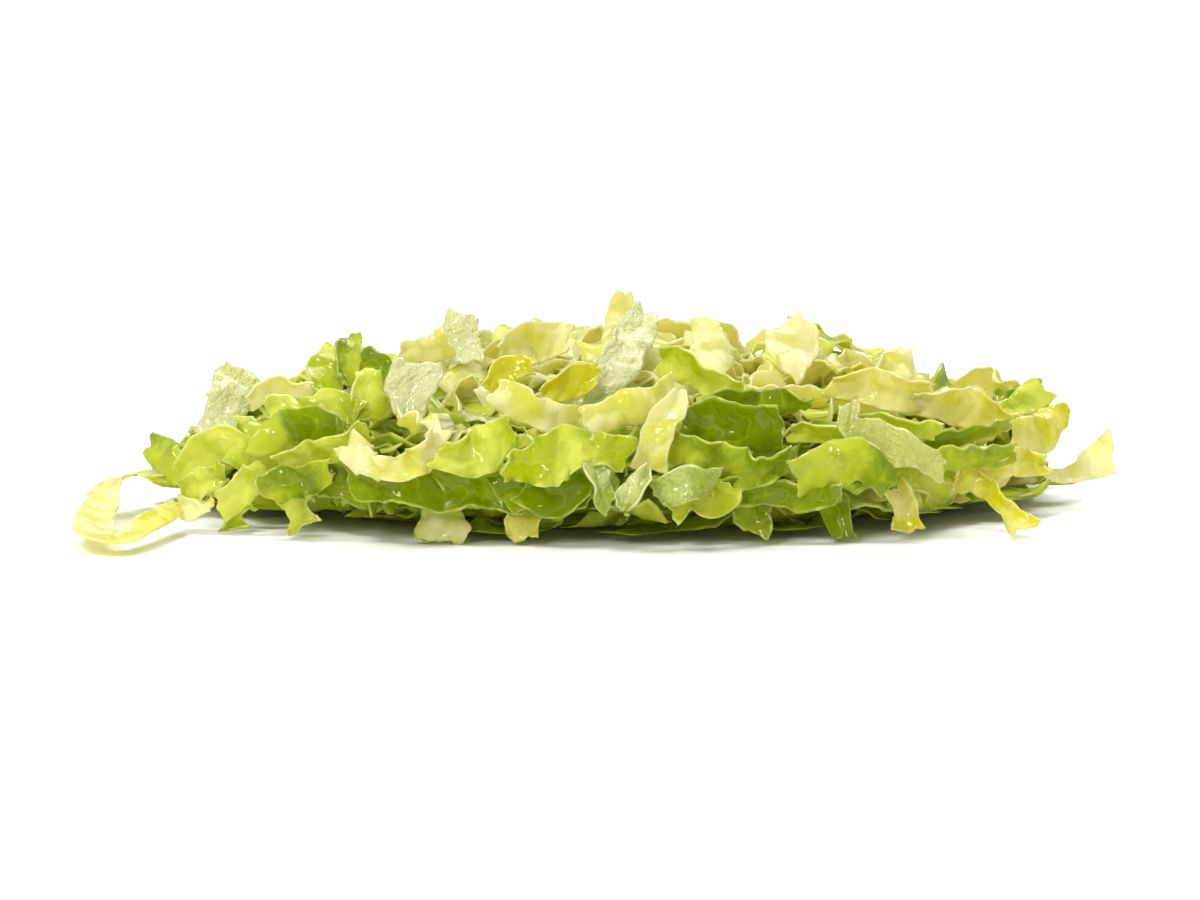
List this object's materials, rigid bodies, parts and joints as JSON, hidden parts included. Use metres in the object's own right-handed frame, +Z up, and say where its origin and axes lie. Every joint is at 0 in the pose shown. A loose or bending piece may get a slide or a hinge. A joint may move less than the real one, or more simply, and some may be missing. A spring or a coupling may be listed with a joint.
{
  "type": "mound of shredded lettuce",
  "caption": "Low oval mound of shredded lettuce: waved green and pale leaf shreds lying over a denser heap, with loose shreds at its edge.",
  "frame": {"origin": "middle of the flat spot under the mound, on the surface that it rests on", "axes": "+Z up, +X to the right along the mound's length, the front of the mound looks along -Y"},
  "size_m": [0.126, 0.0871, 0.026],
  "materials": {
    "green_leaf": "fresh green leaf, moist, with fine veins and a pale cut edge",
    "lime_leaf": "lime-green leaf, moist, softly blistered, light shining through",
    "pale_leaf": "pale inner leaf, creamy yellow-green, moist and softly crinkled",
    "clear_rib": "watery whitish rib, half clear, wet and finely ribbed",
    "yellow_leaf": "yellowed leaf, moist, slightly bruised at its edges"
  },
  "bodies": {
    "root": {"heap_of_green_shreds": "green_leaf", "heap_of_pale_shreds": "pale_leaf", "spike_chip_top": "pale_leaf", "square_chip_top_left": "clear_rib", "strand_top_left": "pale_leaf", "crest_chip_left": "pale_leaf", "crest_chip_middle": "pale_leaf", "crest_chip_right": "pale_leaf", "far_right_chip": "pale_leaf", "right_rim_chip": "lime_leaf", "right_rim_leaf": "yellow_leaf", "pale_chip_upper_left": "clear_rib", "long_pale_left": "pale_leaf", "green_chip_left_a": "lime_leaf", "green_chip_left_b": "green_leaf", "green_leaf_left": "green_leaf", "lime_chip_left": "lime_leaf", "left_corner_leaf": "green_leaf", "left_side_leaf": "lime_leaf", "folded_leaf_left": "green_leaf", "lime_leaf_left": "lime_leaf", "low_leaf_left_a": "lime_leaf", "low_leaf_left_b": "lime_leaf", "low_leaf_left_c": "green_leaf", "clear_chip_middle_left": "clear_rib", "curled_shred": "pale_leaf", "middle_left_leaf": "lime_leaf", "ruffled_leaf_middle": "pale_leaf", "broad_leaf_middle": "lime_leaf", "green_ribbon_right": "green_leaf", "leaf_upper_right": "lime_leaf", "flat_leaf_right": "green_leaf", "wave_leaf_right": "green_leaf", "glossy_leaf_right": "green_leaf", "wavy_ribbon_right": "clear_rib", "tongue_far_left": "lime_leaf", "tongue_left": "lime_leaf", "tongue_middle_right": "green_leaf", "tongue_right": "yellow_leaf", "tongue_low_left": "pale_leaf", "tongue_low_right": "green_leaf", "tongue_low_middle": "yellow_leaf", "yellow_tail_right": "yellow_leaf", "looped_shred_left": "pale_leaf", "tail_shred_right": "pale_leaf", "rib_shred_middle": "clear_rib", "arched_shred_middle": "pale_leaf", "forked_shred_middle": "pale_leaf", "loose_shred_01": "lime_leaf", "loose_shred_02": "green_leaf", "loose_shred_03": "yellow_leaf", "loose_shred_04": "pale_leaf", "loose_shred_05": "green_leaf", "loose_shred_06": "lime_leaf", "loose_shred_07": "clear_rib", "loose_shred_08": "green_leaf", "loose_shred_09": "pale_leaf", "loose_shred_10": "lime_leaf", "loose_shred_11": "green_leaf", "loose_shred_12": "lime_leaf"}
  },
  "joints": []
}
